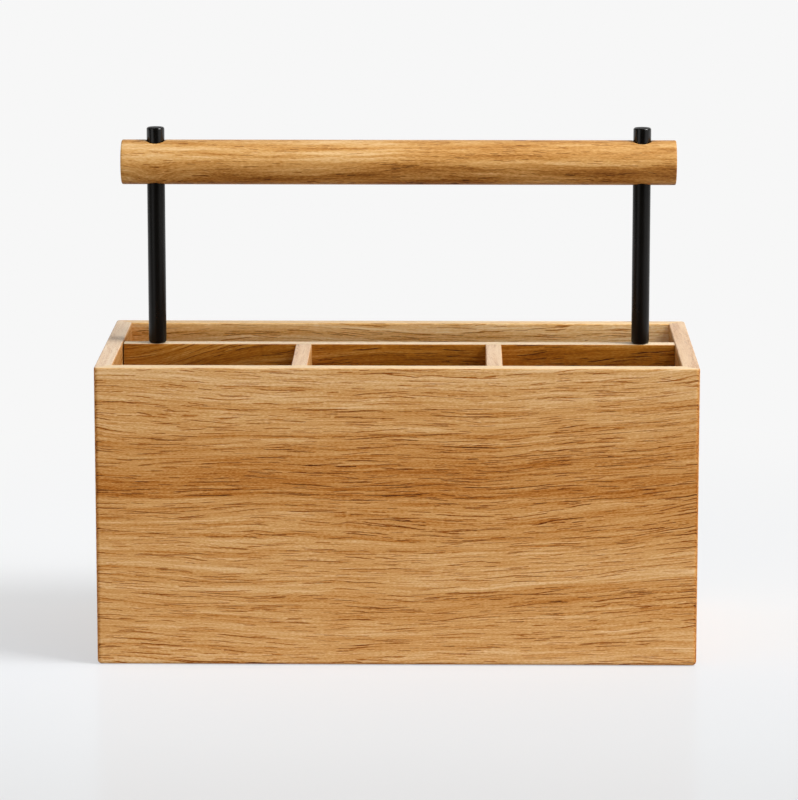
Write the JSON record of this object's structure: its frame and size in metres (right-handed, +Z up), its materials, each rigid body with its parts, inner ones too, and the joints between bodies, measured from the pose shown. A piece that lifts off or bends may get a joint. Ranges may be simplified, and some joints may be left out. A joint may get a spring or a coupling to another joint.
{
  "type": "utensil caddy",
  "caption": "Open-top wooden utensil caddy with short front bays and one long rear bay, lifted by a round wooden bar that stands on slim black metal uprights.",
  "frame": {"origin": "middle of the footprint, on the surface that the caddy stands on", "axes": "+Z up; +X to the right along the length of the box; the front board, with the short bays behind it, faces -Y"},
  "size_m": [0.33, 0.16, 0.2877],
  "materials": {
    "oak_board": "sanded and oiled oak, satin",
    "oak_bar": "turned, sanded and oiled oak, satin",
    "oak_faced_base": "oak-faced board, satin",
    "spline_wood": "bare hardwood strip, hidden",
    "black_metal": "satin black powder coat",
    "plain_steel": "bare steel, hidden"
  },
  "bodies": {
    "root": {"back_board": "oak_board", "back_left_spline": "spline_wood", "back_right_spline": "spline_wood", "base_board": "oak_faced_base", "front_board": "oak_board", "front_left_spline": "spline_wood", "front_right_spline": "spline_wood", "handle_bar": "oak_bar", "left_cap_nut": "black_metal", "left_end_board": "oak_board", "left_foot_stud": "plain_steel", "left_handle_stud": "plain_steel", "left_short_divider": "oak_board", "left_upright": "black_metal", "long_divider": "oak_board", "right_cap_nut": "black_metal", "right_end_board": "oak_board", "right_foot_stud": "plain_steel", "right_handle_stud": "plain_steel", "right_short_divider": "oak_board", "right_upright": "black_metal"}
  },
  "joints": []
}
